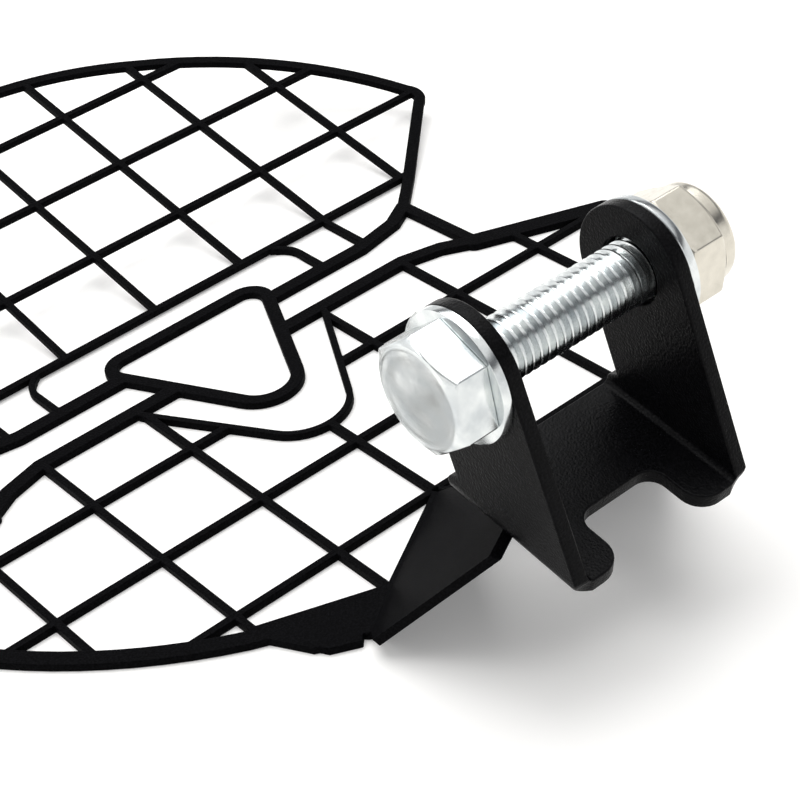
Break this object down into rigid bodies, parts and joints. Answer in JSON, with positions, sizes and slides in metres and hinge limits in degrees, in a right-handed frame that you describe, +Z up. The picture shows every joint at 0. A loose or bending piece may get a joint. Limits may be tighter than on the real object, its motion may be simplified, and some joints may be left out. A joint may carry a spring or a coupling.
{
  "type": "headlight guard",
  "caption": "Cut and folded sheet-metal headlight guard: a square-celled grille with a tilted upper lobe, two folded arms and a clevis bracket with a cross bolt and lock nut.",
  "frame": {"origin": "the middle of the bounding box's base, on the surface that the lower lobe lies flat on", "axes": "+X along the bolt towards its nut, +Y away from the bracket towards the raised end of the upper lobe, +Z up, away from the surface it lies on"},
  "size_m": [0.1698, 0.2184, 0.0621],
  "materials": {
    "powder_coat": "matt black powder coat with a fine wrinkle",
    "zinc_steel": "bright zinc plate",
    "stainless": "plain stainless steel",
    "nylon": "plain nylon"
  },
  "bodies": {
    "root": {"guard_plate": "powder_coat", "bracket": "powder_coat", "bolt": "zinc_steel", "washers": "zinc_steel", "nut": "stainless", "nut_ring": "nylon"}
  },
  "joints": []
}
